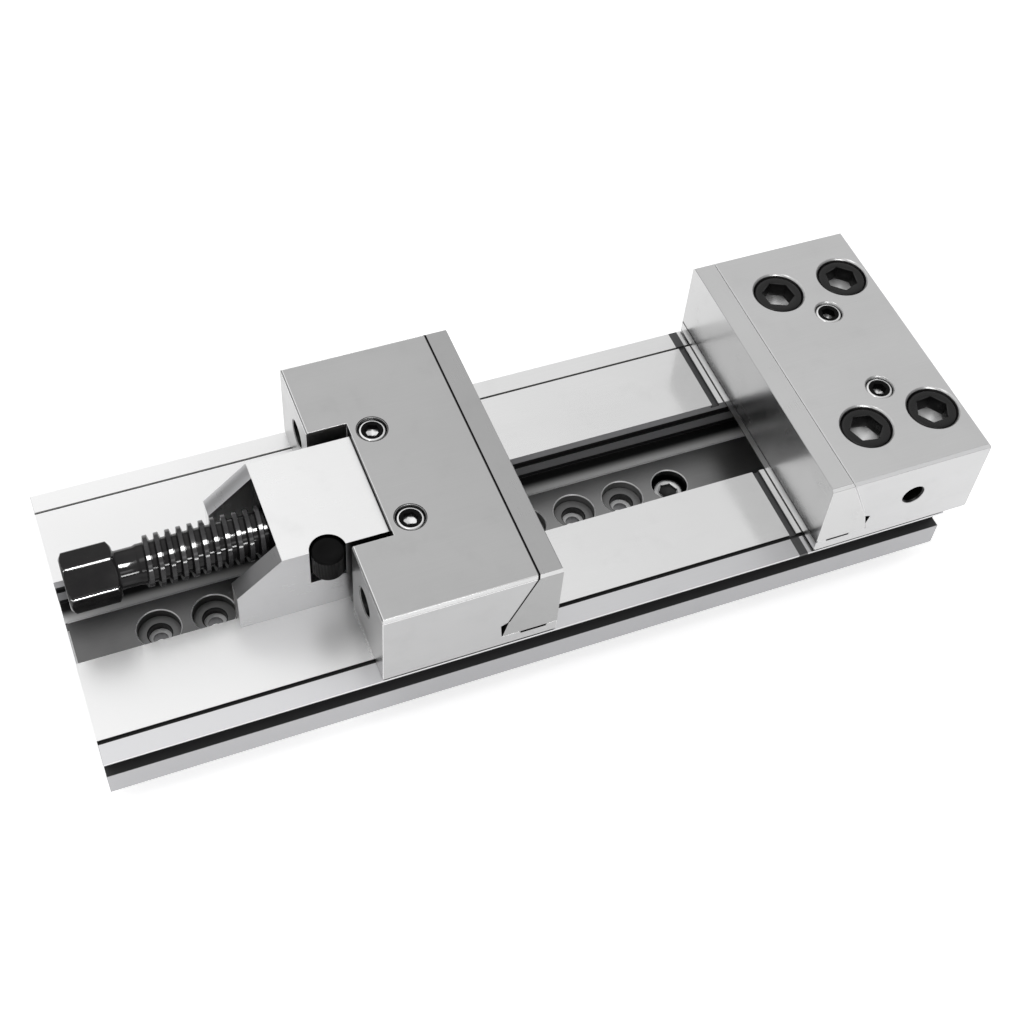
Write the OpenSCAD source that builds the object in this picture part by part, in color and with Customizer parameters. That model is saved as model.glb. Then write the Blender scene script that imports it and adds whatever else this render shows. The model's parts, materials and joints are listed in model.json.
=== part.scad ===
// Modular precision milling vise: slotted base, bolted fixed jaw,
// sliding nut block and a screw-driven movable jaw.
// X runs along the base, +X towards the fixed jaw.  Z is up.
// The origin is the centre of the footprint, on the underside.

/* [Jaws] */
// Width of both jaws and of the base flange
jaw_w = 150; // [140:1:160]
// Height of both jaws above the rails
jaw_h = 46; // [44:1:48]
// Length of the fixed jaw along the base
fixed_len = 84; // [80:1:88]
// Length of the movable jaw along the base
mov_len = 82.6; // [80:0.1:84]
// Thickness of a jaw plate at its top edge
plate_top = 11; // [9:0.5:12]
// Lean of the back of a jaw plate, degrees
plate_lean = 24; // [20:1:26]
// Height of the seat that a jaw plate stands on
seat_h = 6.5; // [5:0.5:8]
// Chamfer on the outer top edges of the jaws
jaw_edge = 1.4; // [0.5:0.1:2]

/* [Base] */
// Length of the base flange
base_len = 411.5; // [410:0.5:413]
// Height of the base, underside to rails
base_h = 40; // [40:1:44]
// Half width of the ground rails
rail_half = 63.6; // [60:0.1:66]
// Half width of the channel between the rails
chan_half = 22.8; // [22.8:0.1:24]
// Depth of the parallel part of the channel
chan_wall = 15; // [14:0.5:16]
// Depth of the channel to its floor
chan_depth = 28; // [27:1:28]
// Half width of the undercut below the rails
under_half = 30; // [30:0.5:32]
// Height of the inset foot under the flange
foot_h = 14; // [10:1:16]
// Half width of the foot
foot_half = 62; // [58:1:66]
// Height of the side clamping groove
groove_h = 9.8; // [6:0.1:10]
// Depth of the side clamping groove
groove_d = 5; // [3:0.5:6]

/* [Index row] */
// Pitch of the index bushes
pitch = 26.2; // [26:0.1:26.4]
// Number of index bushes
bushes = 10; // [6:1:10]
// Outer radius of an index bush
bush_r = 10.15; // [9.5:0.05:11]
// Half width of the index plate
plate_half = 18; // [16:0.5:19]
// Bore radius of an index bush
bush_bore = 5.5; // [5.45:0.05:5.8]
// Lift of the index dog
dog_lift = 7.8; // [6:0.1:7.8]

/* [Spindle] */
// Height of the spindle axis above the rails
axis_h = 28; // [27.5:0.5:28]
// Major diameter of the trapezoidal thread
thread_d = 24; // [22:1:24]
// Pitch of the thread
thread_p = 5; // [5:1:6]
// Width across the flats of the driving hexagon
hex_af = 24; // [22:1:24]

/* [Rest position] */
// Rear face of the movable jaw, from the base's screw end
mov_x = 124.1; // [123.9:0.1:124.3]
// Front face of the fixed jaw, from the base's screw end
fix_x = 339.4; // [339.2:0.1:340]

/* [Hidden] */

$fn = 48;
eps = 0.01;
total = fix_x + fixed_len;         // overall length
hw = jaw_w / 2;
land = base_h;                     // rail height
top = land + jaw_h;                // jaw top
floor_z = land - chan_depth;
under_z = land - chan_wall;
slip = 0.05;                       // sliding gap on the rails
axis_z = land + axis_h;
rr = thread_d / 2;
notch_half = 33.3;
notch_d = 19.3;                    // depth of the rear notch
front_x = mov_x + mov_len;         // front of the movable jaw
notch_x = mov_x + notch_d;
lean = tan(plate_lean);

// nut block
blk_half = 28.3;
blk_x0 = 73;
blk_x1 = notch_x - 0.2;
blk_top = top - 3.6;
arm_top = top - 22.8;              // height of the arm tips
slope_x = 94.3;
groove_z = land - 11.6;            // lower edge of the side groove
pocket_half = 19.4;
foot_t = 7.1;                      // thickness of the hold-down feet
foot_z0 = under_z - 0.4 - foot_t;

// index row
row_x = 302;
plate_z = floor_z + 3;             // top of the index plate
plate_b = floor_z - 6;
bush_top = plate_z - 4.6;           // the bushes sit below the top of the plate
function kx(k) = row_x - pitch * k;
dog_x = kx(7);
dog_r = 5.3;

// locking knob
knob_x = 114.7;
knob_r = 7.6;
notch_r = 8.3;
notch_floor = top - 26.2;

// big screws of the fixed jaw
bx = [fix_x + 33.2, fix_x + 69.1];
by = 45.5;
key_x = fix_x + 51.1;
ky = 25.9;
pin_y = 59.5;
pin_z = land + 22;
mpin_y = 50;
mpin_z = land + 26.5;
ret_x = mov_x + 29.3;
ret_y = 26.4;
ret_top = land + 34;

module centred() { translate([-total / 2, 0, 0]) children(); }
// prism along X from a (y, z) outline
module along_x(x0, x1) { translate([x0, 0, 0]) rotate([90, 0, 90]) linear_extrude(x1 - x0) children(); }
// prism along Y from an (x, z) outline
module along_y(y0, y1) { translate([0, y1, 0]) rotate([90, 0, 0]) linear_extrude(y1 - y0) children(); }
module box(a, b) { translate(a) cube([b[0] - a[0], b[1] - a[1], b[2] - a[2]]); }
module rod_z(x, y, z0, z1, r) { translate([x, y, z0]) cylinder(r = r, h = z1 - z0); }
module rod_x(x0, x1, y, z, r) { translate([x0, y, z]) rotate([0, 90, 0]) cylinder(r = r, h = x1 - x0); }
function flip(p) = [for (i = [len(p) - 1 : -1 : 0]) [-p[i][0], p[i][1]]];
// socket screw hanging below its head top at z = 0
module socket_screw(d, hd, hh, len, af, deep) {
  difference() {
    union() {
      translate([0, 0, -hh]) cylinder(r = hd / 2, h = hh - 0.6);
      translate([0, 0, -0.6]) cylinder(r1 = hd / 2, r2 = hd / 2 - 0.6, h = 0.6);
      translate([0, 0, -hh - len]) cylinder(r = d / 2, h = len + eps);
    }
    translate([0, 0, -deep]) cylinder(r = af / sqrt(3), h = deep + 1, $fn = 6);
  }
}
// cuts the two outer top edges of a jaw
module edge_cut(x0, x1, c) {
  for (s = [-1, 1]) along_x(x0, x1)
    polygon([[s * (hw - c), top + eps], [s * (hw + 1), top + eps], [s * (hw + 1), top - c - 1], [s * (hw + eps), top - c]]);
}

// ---------------------------------------------------------------- base
base_r = [[foot_half - 1, 0], [foot_half, 1], [foot_half, foot_h], [hw - 1, foot_h], [hw, foot_h + 1],
  [hw, groove_z], [hw - groove_d, groove_z], [hw - groove_d, groove_z + groove_h - 3.6],
  [hw, groove_z + groove_h], [hw, land - 0.7], [rail_half + 1.4, land - 0.7], [rail_half + 1.4, land - 1.9],
  [rail_half - 0.3, land - 1.9], [rail_half - 0.3, land], [chan_half, land], [chan_half, land - 4.7],
  [chan_half + 1.2, land - 4.7], [chan_half + 1.2, land - 9], [chan_half, land - 9], [chan_half, under_z],
  [under_half, under_z], [under_half, floor_z], [plate_half + 0.05, floor_z], [plate_half + 0.05, plate_b]];
nose_r = [[under_half, land - 18], [rail_half - 1, land - 18], [rail_half - 1, land],
  [chan_half, land], [chan_half, under_z], [under_half, under_z]];
module base() color([0.86, 0.86, 0.87]) centred() difference() {
  union() {
    along_x(0, base_len) polygon(concat(base_r, flip(base_r)));
    along_x(base_len - 8, total - 2.4) polygon(nose_r);
    along_x(base_len - 8, total - 2.4) polygon(flip(nose_r));
  }
  // relief groove across both rails in front of the fixed jaw
  box([fix_x - 6.7, -rail_half - 1.41, land - 1.5], [fix_x - 3.1, rail_half + 1.41, land + 1]);
  // keyway for the cross key
  box([key_x - 8.05, -60.05, land - 4], [key_x + 8.05, 60.05, land + 1]);
  // tapped holes for the cap screws
  for (x = bx, s = [-1, 1]) rod_z(x, s * by, land - 16, land + 1, 8.05);
  // drain holes under the bushes
  for (k = [1 : bushes]) rod_z(kx(k), 0, -1, plate_b + 1, 3.6);
  // tapped holes for the index plate
  for (k = [0, -3]) rod_z(kx(k), 0, 1, plate_b + 1, 5.05);
  // locating key slots in the underside
  for (x = [105, 301], s = [-1, 1]) box([x - 8, s > 0 ? 26 : -foot_half - 1, -1], [x + 8, s > 0 ? foot_half + 1 : -26, 5]);
}
module index_plate() color([0.36, 0.36, 0.38]) centred() difference() {
  along_x(1, base_len - 4) polygon([[-plate_half, plate_b], [plate_half, plate_b], [plate_half, plate_z - 1.8], [plate_half - 1.8, plate_z], [1.8 - plate_half, plate_z], [-plate_half, plate_z - 1.8]]);
  for (k = [1 : bushes]) {
    rod_z(kx(k), 0, plate_b - 1, plate_z + 1, bush_r + 0.05);
    translate([kx(k), 0, plate_z - 0.5]) cylinder(r1 = bush_r + 0.05, r2 = bush_r + 0.56, h = 0.51);
  }
  for (k = [0, -3]) {
    rod_z(kx(k), 0, plate_z - 8, plate_z + 1, 9);
    translate([kx(k), 0, plate_z - 0.5]) cylinder(r1 = 9, r2 = 9.51, h = 0.51);
    rod_z(kx(k), 0, plate_b - 1, plate_z, 5.4);
  }
}
module index_bushes() color([0.42, 0.42, 0.44]) centred()
  for (k = [1 : bushes]) translate([kx(k), 0, plate_b]) difference() {
    cylinder(r = bush_r, h = bush_top - plate_b);
    translate([0, 0, -1]) cylinder(r = bush_bore, h = 20);
    translate([0, 0, bush_top - plate_b - 0.6]) cylinder(r1 = bush_bore, r2 = bush_bore + 0.61, h = 0.61);
  }
module index_plate_screws() color([0.7, 0.7, 0.72]) centred()
  for (k = [0, -3]) translate([kx(k), 0, plate_z - 5]) socket_screw(10, 16, 3, 5.5, 8, 2);

// ---------------------------------------------------------------- jaws
// outline of a jaw seen from -Y, with d running back from the gripping face
module jaw_outline(len) polygon([[0.3, land + slip], [0, land + slip + 0.3], [0, top - 0.3], [0.3, top], [len - 0.8, top], [len, top - 0.8], [len, land + slip + 0.4], [len - 0.4, land + slip]]);
back_low = plate_top + (jaw_h - 17) * lean;
module jaw_pocket(fixed = false) {
  polygon(concat([[-1, land + seat_h], [-1, top + 1], [plate_top, top + 1], [plate_top, top], [back_low, land + 17]],
    fixed ? [[back_low + 2.8, land + 15.9], [back_low + 1.5, land + 10.5]] : [[back_low + 3.5, land + 15.2]], [[26.6, land + seat_h]]));
  polygon([[5.5, land + seat_h - 1.2], [5.5, land + seat_h + 1], [17.5, land + seat_h + 1], [17.5, land + seat_h - 1.2]]);
}
module plate_outline() polygon([[0.3, land + seat_h], [0, land + seat_h + 0.3], [0, top - 0.3], [0.3, top], [plate_top - 0.35, top], [plate_top - 0.06, top - 0.35], [back_low - 0.06, land + 17], [26.4, land + seat_h + 0.2], [26.2, land + seat_h]]);
// carries an outline to the fixed jaw (facing -X) or the movable jaw (facing +X)
module as_fixed() { translate([fix_x, 0, 0]) children(); }
module as_movable() { translate([front_x, 0, 0]) mirror([1, 0, 0]) children(); }

module fixed_jaw_body() color([0.78, 0.78, 0.79]) centred() difference() {
  as_fixed() along_y(-hw, hw) jaw_outline(fixed_len);
  as_fixed() along_y(-hw - 1, hw + 1) jaw_pocket(true);
  edge_cut(fix_x - 1, total + 1, jaw_edge);
  for (x = bx, s = [-1, 1]) {
    rod_z(x, s * by, land - 1, top, 8.6);
    rod_z(x, s * by, top - 17, top + 1, 12.5);
    translate([x, s * by, top - 0.8]) cylinder(r1 = 12.5, r2 = 13.31, h = 0.81);
  }
  for (s = [-1, 1]) {
    rod_z(key_x, s * ky, land - 1, top, 4.4);
    rod_z(key_x, s * ky, top - 9, top + 1, 6.8);
    translate([key_x, s * ky, top - 0.5]) cylinder(r1 = 6.8, r2 = 7.31, h = 0.51);
    rod_x(fix_x + 5, total, s * pin_y, pin_z, 4.3);
    rod_x(total - 9, total + 1, s * pin_y, pin_z, 7);
  }
  box([key_x - 8.05, -60.05, land - 1], [key_x + 8.05, 60.05, land + 4.05]);
  // tapped work-stop hole in each side
  for (s = [-1, 1]) {
    translate([fix_x + 48.1, s * hw, land + 23.3]) rotate([s * 90, 0, 0]) {
      translate([0, 0, -1]) cylinder(r = 5.1, h = 10.5);
      translate([0, 0, -eps]) cylinder(r1 = 6.01, r2 = 5.1, h = 0.9);
    }
  }
}
module fixed_jaw_plate() color([0.8, 0.8, 0.81]) centred() difference() {
  as_fixed() along_y(-hw, hw) plate_outline();
  edge_cut(fix_x - 1, fix_x + 30, jaw_edge);
  for (s = [-1, 1]) {
    rod_x(fix_x + 9.5, fix_x + 40, s * pin_y, pin_z, 4.05);
    rod_z(bx[0], s * by, land, land + 22, 8.6);
  }
}
module fixed_jaw_plate_screws() color([0.12, 0.12, 0.13]) centred()
  for (s = [-1, 1]) translate([total - 1, s * pin_y, pin_z]) rotate([0, 90, 0]) socket_screw(8, 13, 8, fixed_len - 19.5, 6, 4);
module fixed_jaw_cap_screws() color([0.1, 0.1, 0.11]) centred()
  for (x = bx, s = [-1, 1]) translate([x, s * by, top - 1]) socket_screw(16, 24, 16, jaw_h - 17 + 15, 14, 8);
module fixed_jaw_cross_key() color([0.55, 0.55, 0.57]) centred() difference() {
  box([key_x - 8, -60, land - 4], [key_x + 8, 60, land + 4]);
  for (s = [-1, 1]) rod_z(key_x, s * ky, land - 5, land + 5, 4.05);
}
module fixed_jaw_key_screws() color([0.1, 0.1, 0.11]) centred()
  for (s = [-1, 1]) translate([key_x, s * ky, top - 1]) socket_screw(8, 13, 8, jaw_h - 9 + 3.4, 6, 4);

module movable_jaw_body() color([0.7, 0.7, 0.71]) centred() difference() {
  as_movable() along_y(-hw, hw) jaw_outline(mov_len);
  as_movable() along_y(-hw - 1, hw + 1) jaw_pocket();
  edge_cut(mov_x - 1, front_x + 1, jaw_edge);
  // rear notch around the nut block
  box([mov_x - 1, -notch_half, land - 1], [notch_x, notch_half, top + 1]);
  // bore for the spindle nose
  rod_x(notch_x - 1, notch_x + 30.6, 0, axis_z, rr + 0.3);
  // pocket for the retainer, open below
  box([ret_x - 6.1, -34.1, land - 1], [ret_x + 6.1, 34.1, ret_top + 0.1]);
  for (s = [-1, 1]) {
    rod_z(ret_x, s * ret_y, ret_top - 1, top, 4.3);
    rod_z(ret_x, s * ret_y, top - 6, top + 1, 6.8);
    translate([ret_x, s * ret_y, top - 0.5]) cylinder(r1 = 6.8, r2 = 7.31, h = 0.51);
    rod_x(mov_x, front_x - 6, s * mpin_y, mpin_z, 4.3);
    rod_x(mov_x - 1, mov_x + 14, s * mpin_y, mpin_z, 6.8);
    translate([mov_x - eps, s * mpin_y, mpin_z]) rotate([0, 90, 0]) cylinder(r1 = 7.31, r2 = 6.8, h = 0.5);
    for (x = [168, 188]) rod_z(x, s * 12, land - 1, land + 5.2, 3.05);
  }
}
module movable_jaw_plate() color([0.74, 0.74, 0.75]) centred() difference() {
  as_movable() along_y(-hw, hw) plate_outline();
  edge_cut(front_x - 30, front_x + 1, jaw_edge);
  for (s = [-1, 1]) rod_x(front_x - 40, front_x - 7.5, s * mpin_y, mpin_z, 4.05);
}
module movable_jaw_plate_screws() color([0.12, 0.12, 0.13]) centred()
  for (s = [-1, 1]) translate([mov_x + 6, s * mpin_y, mpin_z]) mirror([1, 0, 0]) rotate([0, 90, 0]) socket_screw(8, 13, 8, mov_len - 22.5, 6, 4);
module thrust_retainer() color([0.3, 0.3, 0.32]) centred() difference() {
  box([ret_x - 6, -34, land + 6], [ret_x + 6, 34, ret_top]);
  rod_x(ret_x - 7, ret_x + 7, 0, axis_z, 8.2);
  box([ret_x - 7, -8.2, axis_z], [ret_x + 7, 8.2, ret_top + 1]);
  for (s = [-1, 1]) rod_z(ret_x, s * ret_y, land + 16, ret_top + 1, 4.05);
}
module retainer_screws() color([0.1, 0.1, 0.11]) centred()
  for (s = [-1, 1]) translate([ret_x, s * ret_y, top - 0.8]) socket_screw(8, 13, 5.2, jaw_h - 6 - 18 + 1, 6, 3);
module thrust_washer() color([0.72, 0.58, 0.3]) centred() difference() {
  rod_x(notch_x + 1, notch_x + 3.9, 0, axis_z, rr + 0.25);
  rod_x(notch_x, notch_x + 5, 0, axis_z, 8.2);
}
module hold_down(x0, x1) box([x0, -under_half + 0.6, foot_z0], [x1, under_half - 0.6, foot_z0 + foot_t]);
module hold_screw_holes(xs, y) for (x = xs, s = [-1, 1]) {
  rod_z(x, s * y, foot_z0 - 1, foot_z0 + 4.2, 5.3);
  rod_z(x, s * y, foot_z0, foot_z0 + foot_t + 1, 3.3);
}
module jaw_guide_block() color([0.5, 0.5, 0.52]) centred() difference() {
  box([162, -chan_half + 0.3, foot_z0 + foot_t], [194, chan_half - 0.3, land + slip]);
  for (x = [168, 188], s = [-1, 1]) rod_z(x, s * 12, foot_z0, land + 2, 3.3);
}
module jaw_hold_down_plate() color([0.4, 0.4, 0.42]) centred() difference() {
  hold_down(162, 194);
  hold_screw_holes([168, 188], 12);
}
module jaw_hold_down_screws() color([0.15, 0.15, 0.16]) centred()
  for (x = [168, 188], s = [-1, 1]) translate([x, s * 12, foot_z0 + 0.2]) mirror([0, 0, 1]) socket_screw(6, 10, 4, land + 5 - foot_z0 - 4.2, 5, 2.4);

// ---------------------------------------------------------------- nut block
module slide_block() color([0.93, 0.93, 0.94]) centred() difference() {
  union() {
    along_y(-blk_half, blk_half) polygon([[blk_x0, land + slip], [blk_x1 - 0.4, land + slip], [blk_x1, land + slip + 0.4],
      [blk_x1, blk_top - 0.3], [blk_x1 - 0.3, blk_top], [slope_x, blk_top], [blk_x0, arm_top]]);
    box([slope_x + 1, -chan_half + 0.3, foot_z0 + foot_t], [140, chan_half - 0.3, land + 1]);
  }
  // pocket between the rear arms
  box([blk_x0 - 1, -pocket_half, land - 20], [slope_x, pocket_half, top]);
  rod_x(slope_x - 5, blk_x1 + 1, 0, axis_z, rr + 0.3);
  translate([slope_x - eps, 0, axis_z]) rotate([0, 90, 0]) cylinder(r1 = rr + 1.5, r2 = rr + 0.3, h = 1.2);
  // notch for the lifting knob, and the way for its stem
  rod_z(knob_x, -29, notch_floor, top, notch_r);
  rod_z(knob_x, -23.9, land, notch_floor + 1, 2.8);
  // underside pocket for the crossbar
  box([112.2, -26.9, land - eps], [124, 6.6, land + 12.9]);
  // way for the index dog
  rod_z(dog_x, 0, foot_z0, land + 1, dog_r + 0.06);
  for (x = [101, 134], s = [-1, 1]) rod_z(x, s * 13, foot_z0, land - 3.8, 3.05);
}
module slide_foot() color([0.4, 0.4, 0.42]) centred() difference() {
  hold_down(slope_x + 1, 140);
  hold_screw_holes([101, 134], 13);
  rod_z(dog_x, 0, foot_z0 - 1, land, dog_r + 0.06);
}
module slide_foot_screws() color([0.15, 0.15, 0.16]) centred()
  for (x = [101, 134], s = [-1, 1]) translate([x, s * 13, foot_z0 + 0.2]) mirror([0, 0, 1]) socket_screw(6, 10, 4, land - 4 - foot_z0 - 4.2, 5, 2.4);
module lock_knob() color([0.06, 0.06, 0.07]) centred() {
  rod_z(knob_x, -28.3, notch_floor + dog_lift + 0.5, blk_top - 1.9, knob_r);
  translate([knob_x, -28.3, blk_top - 1.9]) cylinder(r1 = knob_r, r2 = knob_r - 0.8, h = 0.8);
  rod_z(knob_x, -23.9, land + 12.5, notch_floor + dog_lift + 1, 2.4);
}
module lock_crossbar() color([0.3, 0.3, 0.32]) centred() difference() {
  box([112.8, -26.3, land + 8.6], [123.4, 6, land + 12.5]);
  rod_z(dog_x, 0, land + 7, land + 13, 3.55);
}
module index_dog() color([0.25, 0.25, 0.27]) centred() {
  translate([dog_x, 0, plate_z + 0.6]) cylinder(r1 = dog_r - 0.6, r2 = dog_r, h = 0.6);
  rod_z(dog_x, 0, plate_z + 1.2, land + 8.6, dog_r);
  rod_z(dog_x, 0, land + 8.6 - eps, land + 12.5, 3.5);
}

// ---------------------------------------------------------------- spindle
th_x0 = 38;
th_n = floor((notch_x - th_x0) / thread_p);
root = rr - 2.75;
thread_pts = concat([[27.2, 0], [27.2, 8.75], [th_x0 - 1.6, 8.75], [th_x0 - 0.9, root]],
  [for (i = [0 : th_n - 1]) for (q = [[0.5, root], [1.24, rr], [3.07, rr], [3.81, root]]) [th_x0 + thread_p * i + q[0], q[1]]],
  [[notch_x + 0.5, root], [notch_x + 0.5, 8], [ret_x + 13, 8], [ret_x + 13, 0]]);
module spindle() color([0.08, 0.08, 0.09]) centred() translate([0, 0, axis_z]) difference() {
  union() {
    rotate([0, 90, 0]) rotate_extrude() polygon([for (p = thread_pts) [p[1], p[0]]]);
    intersection() {
      translate([4.5, 0, 0]) rotate([0, 90, 0]) rotate([0, 0, 10]) cylinder(r = hex_af / sqrt(3), h = 23, $fn = 6);
      translate([4.5, 0, 0]) rotate([0, 90, 0]) union() {
        cylinder(r1 = hex_af / 2 - 0.4, r2 = hex_af / sqrt(3) + 0.3, h = 1.8);
        translate([0, 0, 1.8 - eps]) cylinder(r = hex_af / sqrt(3) + 0.3, h = 19.6);
        translate([0, 0, 21.4 - 2 * eps]) cylinder(r1 = hex_af / sqrt(3) + 0.3, r2 = hex_af / 2 - 0.4, h = 1.6);
      }
    }
  }
  translate([ret_x - 8, 0, 0]) rotate([0, 90, 0]) cylinder(r = 3.05, h = 30);
}
module thrust_collar() color([0.35, 0.35, 0.37]) centred() difference() {
  rod_x(ret_x + 6.3, ret_x + 13, 0, axis_z, rr);
  rod_x(ret_x, ret_x + 14, 0, axis_z, 8.04);
}
module collar_screw() color([0.15, 0.15, 0.16]) centred()
  translate([ret_x + 16.6, 0, axis_z]) rotate([0, 90, 0]) socket_screw(6, 19, 3.5, 18, 5, 2.2);

base();
index_plate();
index_bushes();
index_plate_screws();
fixed_jaw_body();
fixed_jaw_plate();
fixed_jaw_plate_screws();
fixed_jaw_cap_screws();
fixed_jaw_cross_key();
fixed_jaw_key_screws();
slide_block();
slide_foot();
slide_foot_screws();
lock_knob();
lock_crossbar();
index_dog();
movable_jaw_body();
movable_jaw_plate();
movable_jaw_plate_screws();
thrust_retainer();
retainer_screws();
thrust_washer();
jaw_guide_block();
jaw_hold_down_plate();
jaw_hold_down_screws();
spindle();
thrust_collar();
collar_screw();
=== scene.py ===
import json
import math
import bpy
import bmesh
from mathutils import Matrix, Vector

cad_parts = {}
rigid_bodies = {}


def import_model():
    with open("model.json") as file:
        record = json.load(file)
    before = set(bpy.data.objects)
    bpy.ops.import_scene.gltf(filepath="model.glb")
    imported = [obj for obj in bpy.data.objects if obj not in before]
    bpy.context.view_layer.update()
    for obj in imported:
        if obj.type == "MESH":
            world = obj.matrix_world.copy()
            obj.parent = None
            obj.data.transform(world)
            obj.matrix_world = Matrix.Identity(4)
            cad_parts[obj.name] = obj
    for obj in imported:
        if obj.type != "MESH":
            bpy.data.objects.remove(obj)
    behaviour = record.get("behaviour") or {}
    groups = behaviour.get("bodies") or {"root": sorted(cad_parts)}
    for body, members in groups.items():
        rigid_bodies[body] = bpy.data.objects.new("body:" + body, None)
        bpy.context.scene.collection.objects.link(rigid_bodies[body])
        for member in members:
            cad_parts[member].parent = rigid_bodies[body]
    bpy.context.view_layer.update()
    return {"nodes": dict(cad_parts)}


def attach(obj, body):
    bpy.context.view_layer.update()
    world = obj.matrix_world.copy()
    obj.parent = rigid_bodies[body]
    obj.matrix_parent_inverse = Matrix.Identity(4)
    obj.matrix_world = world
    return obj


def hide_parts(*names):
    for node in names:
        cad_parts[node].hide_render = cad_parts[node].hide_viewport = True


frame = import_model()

NODES = frame["nodes"]
MM = 0.001
TOTAL = 423.4
X0 = -TOTAL / 2            # x of the base's screw end, in mm
TOP = 86.0
LAND = 40.0
AXIS_Z = 68.0
scene = bpy.context.scene


# ------------------------------------------------------------------ materials
def new_mat(name):
    m = bpy.data.materials.new(name)
    m.use_nodes = True
    nt = m.node_tree
    nt.nodes.clear()
    out = nt.nodes.new("ShaderNodeOutputMaterial")
    b = nt.nodes.new("ShaderNodeBsdfPrincipled")
    nt.links.new(b.outputs[0], out.inputs[0])
    return m, nt, b


def node(nt, kind, **kw):
    n = nt.nodes.new(kind)
    for k, v in kw.items():
        setattr(n, k, v)
    return n


def math_node(nt, op, a, b=None, clamp=False):
    n = node(nt, "ShaderNodeMath", operation=op, use_clamp=clamp)
    for i, v in enumerate((a, b)):
        if v is None:
            continue
        if isinstance(v, (int, float)):
            n.inputs[i].default_value = v
        else:
            nt.links.new(v, n.inputs[i])
    return n.outputs[0]


def noise(nt, vec, scale=(1, 1, 1), detail=3.0, rough=0.55, size=1.0):
    mp = node(nt, "ShaderNodeMapping")
    mp.inputs["Scale"].default_value = scale
    nt.links.new(vec, mp.inputs["Vector"])
    n = node(nt, "ShaderNodeTexNoise")
    n.inputs["Scale"].default_value = size
    n.inputs["Detail"].default_value = detail
    n.inputs["Roughness"].default_value = rough
    nt.links.new(mp.outputs[0], n.inputs["Vector"])
    return n.outputs["Fac"]


def mix_val(nt, fac, a, b):
    n = node(nt, "ShaderNodeMix", data_type="FLOAT")
    for sock, v in ((n.inputs[0], fac), (n.inputs[2], a), (n.inputs[3], b)):
        if isinstance(v, (int, float)):
            sock.default_value = v
        else:
            nt.links.new(v, sock)
    return n.outputs[0]


def mix_col(nt, fac, a, b, blend="MIX"):
    n = node(nt, "ShaderNodeMix", data_type="RGBA", blend_type=blend)
    for sock, v in ((n.inputs[0], fac), (n.inputs[6], a), (n.inputs[7], b)):
        if isinstance(v, (int, float)):
            sock.default_value = v
        elif isinstance(v, tuple):
            sock.default_value = v if len(v) == 4 else (*v, 1)
        else:
            nt.links.new(v, sock)
    return n.outputs[2]


def remap(nt, v, a, b, c=0.0, d=1.0, smooth=False):
    n = node(nt, "ShaderNodeMapRange")
    if smooth:
        n.interpolation_type = "SMOOTHSTEP"
    n.inputs["From Min"].default_value = a
    n.inputs["From Max"].default_value = b
    n.inputs["To Min"].default_value = c
    n.inputs["To Max"].default_value = d
    nt.links.new(v, n.inputs["Value"])
    return n.outputs[0]


def band(nt, v, lo, hi, soft=0.00015):
    """1 between lo and hi (metres), 0 outside"""
    up = remap(nt, v, lo - soft, lo + soft)
    dn = remap(nt, v, hi - soft, hi + soft, 1.0, 0.0)
    return math_node(nt, "MULTIPLY", up, dn)


def grain(nt, obj_vec, lay):
    """Grinding lines: fine streaks along one axis on each face, chosen by which way the face points.
    lay gives the direction on faces that look along X, Y and Z."""
    fine, long_ = 2600.0, 22.0
    def along(ax):
        sc = [fine, fine, fine]
        sc["xyz".index(ax)] = long_
        return noise(nt, obj_vec, tuple(sc), detail=4.0, rough=0.6)
    geo = node(nt, "ShaderNodeNewGeometry")
    sep = node(nt, "ShaderNodeSeparateXYZ")
    nt.links.new(geo.outputs["Normal"], sep.inputs[0])
    ax_ = remap(nt, math_node(nt, "ABSOLUTE", sep.outputs[0]), 0.6, 0.75)
    ay_ = remap(nt, math_node(nt, "ABSOLUTE", sep.outputs[1]), 0.6, 0.75)
    made = {}
    def get(ax):
        if ax not in made:
            made[ax] = along(ax)
        return made[ax]
    v = get(lay[2])
    if lay[1] != lay[2]:
        v = mix_val(nt, ay_, v, get(lay[1]))
    if lay[0] != lay[2]:
        v = mix_val(nt, ax_, v, get(lay[0]))
    return v


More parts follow.
